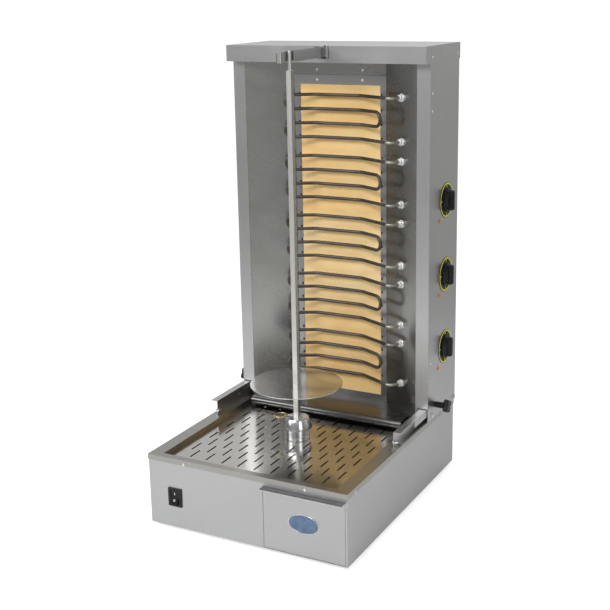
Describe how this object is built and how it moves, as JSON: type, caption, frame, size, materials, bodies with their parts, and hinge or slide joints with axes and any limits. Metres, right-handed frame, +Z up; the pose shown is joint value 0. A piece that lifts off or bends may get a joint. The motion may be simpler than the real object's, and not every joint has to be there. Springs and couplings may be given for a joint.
{
  "type": "rotisserie grill",
  "caption": "Upright electric rotisserie grill: slotted drip tray on a steel base with fat drawer, sliding heater tower, turning spit with disc and swinging support arm.",
  "frame": {"origin": "on the table under the middle of the base, with the feet on Z = 0", "axes": "+X right seen from the front, +Y to the back, +Z up along the spit"},
  "size_m": [0.58, 0.6576, 1.07],
  "materials": {
    "stainless": "brushed",
    "stainless_dark": "satin",
    "mirror_steel": "polished",
    "spit_steel": "satin",
    "galvanised": "matt",
    "zinc": "bright",
    "turned_aluminium": "turned",
    "element_tube": "oxidised satin",
    "refractory": "matt",
    "wool": "fibrous",
    "black_plastic": "matt",
    "dial_black": "satin",
    "orange_lens": "gloss",
    "badge_enamel": "gloss",
    "motor_paint": "semi-gloss",
    "bronze": "plain",
    "yellow_zinc": "passivated",
    "rubber_foot": "matt",
    "block_plastic": "matt"
  },
  "bodies": {
    "base": {"base_housing": "stainless", "base_rear_panel": "stainless", "base_floor": "galvanised", "feet": "rubber_foot", "top_frame": "stainless", "drip_tray": "mirror_steel", "fat_collector": "stainless_dark", "drawer_runners": "galvanised", "left_rail": "stainless", "right_rail": "stainless", "rail_fasteners": "zinc", "skirt_screws": "zinc", "switch_bezel": "black_plastic", "motor_bracket": "galvanised", "gear_motor": "motor_paint", "shaft_bush": "bronze", "cable_gland": "black_plastic", "terminal_block": "block_plastic"},
    "drawer": {"drawer_box": "stainless_dark", "drawer_front": "stainless", "badge": "badge_enamel"},
    "power_rocker": {"switch_rocker": "black_plastic"},
    "drive": {"motor_shaft": "spit_steel", "drive_hub": "turned_aluminium"},
    "spit": {"spit_bar": "spit_steel", "spit_disc": "mirror_steel"},
    "clip": {"spit_clip": "yellow_zinc"},
    "tower": {"left_column": "stainless", "right_column": "stainless", "tower_rear_panel": "stainless", "top_cap": "stainless", "tower_ceiling": "stainless_dark", "left_reflector": "stainless_dark", "right_reflector": "stainless_dark", "refractory_frame": "stainless_dark", "refractory_panel": "refractory", "insulation_blanket": "wool", "drip_lip": "stainless", "heating_element_1": "element_tube", "heating_element_2": "element_tube", "heating_element_3": "element_tube", "heating_element_4": "element_tube", "heating_element_5": "element_tube", "element_nuts": "zinc", "roller_bolts": "zinc", "arm_pivot_pin": "zinc", "dial_plates": "dial_black", "rotary_switches": "black_plastic", "indicator_lamps": "orange_lens", "tower_screws": "zinc"},
    "arm": {"support_arm": "stainless"},
    "front_left_wheel": {"front_left_roller": "zinc"},
    "front_right_wheel": {"front_right_roller": "zinc"},
    "rear_left_wheel": {"rear_left_roller": "zinc"},
    "rear_right_wheel": {"rear_right_roller": "zinc"},
    "top_control": {"top_knob": "black_plastic"},
    "middle_control": {"middle_knob": "black_plastic"},
    "bottom_control": {"bottom_knob": "black_plastic"},
    "left_clamp": {"left_clamp_knob": "black_plastic"},
    "right_clamp": {"right_clamp_knob": "black_plastic"}
  },
  "joints": [
    {"name": "heater_slide", "type": "slide", "parent": "base", "child": "tower", "axis": [0, -1, 0], "range_m": [0, 0.09]},
    {"name": "arm_swing", "type": "hinge", "parent": "tower", "child": "arm", "pos_m": [0.0105, 0.102, 1.0555], "axis": [0, 0, 1], "range_deg": [-28, 0]},
    {"name": "front_left_roll", "type": "hinge", "parent": "tower", "child": "front_left_wheel", "pos_m": [-0.2465, 0.149, 0.1908], "axis": [1, 0, 0], "range_deg": [-5, 480]},
    {"name": "front_right_roll", "type": "hinge", "parent": "tower", "child": "front_right_wheel", "pos_m": [0.2465, 0.149, 0.1908], "axis": [1, 0, 0], "range_deg": [-5, 480]},
    {"name": "rear_left_roll", "type": "hinge", "parent": "tower", "child": "rear_left_wheel", "pos_m": [-0.2465, 0.295, 0.1908], "axis": [1, 0, 0], "range_deg": [-5, 480]},
    {"name": "rear_right_roll", "type": "hinge", "parent": "tower", "child": "rear_right_wheel", "pos_m": [0.2465, 0.295, 0.1908], "axis": [1, 0, 0], "range_deg": [-5, 480]},
    {"name": "top_dial_turn", "type": "hinge", "parent": "tower", "child": "top_control", "pos_m": [0.256, 0.232, 0.7058], "axis": [1, 0, 0], "range_deg": [0, 270]},
    {"name": "middle_dial_turn", "type": "hinge", "parent": "tower", "child": "middle_control", "pos_m": [0.256, 0.232, 0.5242], "axis": [1, 0, 0], "range_deg": [0, 270]},
    {"name": "bottom_dial_turn", "type": "hinge", "parent": "tower", "child": "bottom_control", "pos_m": [0.256, 0.232, 0.3426], "axis": [1, 0, 0], "range_deg": [0, 270]},
    {"name": "left_clamp_turn", "type": "hinge", "parent": "tower", "child": "left_clamp", "pos_m": [-0.256, 0.179, 0.209], "axis": [-1, 0, 0], "range_deg": [0, 180]},
    {"name": "right_clamp_turn", "type": "hinge", "parent": "tower", "child": "right_clamp", "pos_m": [0.256, 0.179, 0.209], "axis": [1, 0, 0], "range_deg": [0, 180]},
    {"name": "drive_spin", "type": "hinge", "parent": "base", "child": "drive", "pos_m": [0, -0.06, 0.15], "axis": [0, 0, 1], "continuous": true},
    {"name": "spit_lift", "type": "slide", "parent": "drive", "child": "spit", "axis": [0, 0, 1], "range_m": [0, 0.016]},
    {"name": "clip_pull", "type": "slide", "parent": "spit", "child": "clip", "axis": [-1, 0, 0], "range_m": [0, 0.056]},
    {"name": "drawer_slide", "type": "slide", "parent": "base", "child": "drawer", "axis": [0, -1, 0], "range_m": [0, 0.27]},
    {"name": "rocker_tilt", "type": "hinge", "parent": "base", "child": "power_rocker", "pos_m": [-0.182, -0.3078, 0.084], "axis": [1, 0, 0], "range_deg": [0, 24]}
  ],
  "couplings": [
    {"joint": "front_left_roll", "follows": "heater_slide", "rad_per_m": 90.909},
    {"joint": "front_right_roll", "follows": "heater_slide", "rad_per_m": 90.909},
    {"joint": "rear_left_roll", "follows": "heater_slide", "rad_per_m": 90.909},
    {"joint": "rear_right_roll", "follows": "heater_slide", "rad_per_m": 90.909}
  ]
}
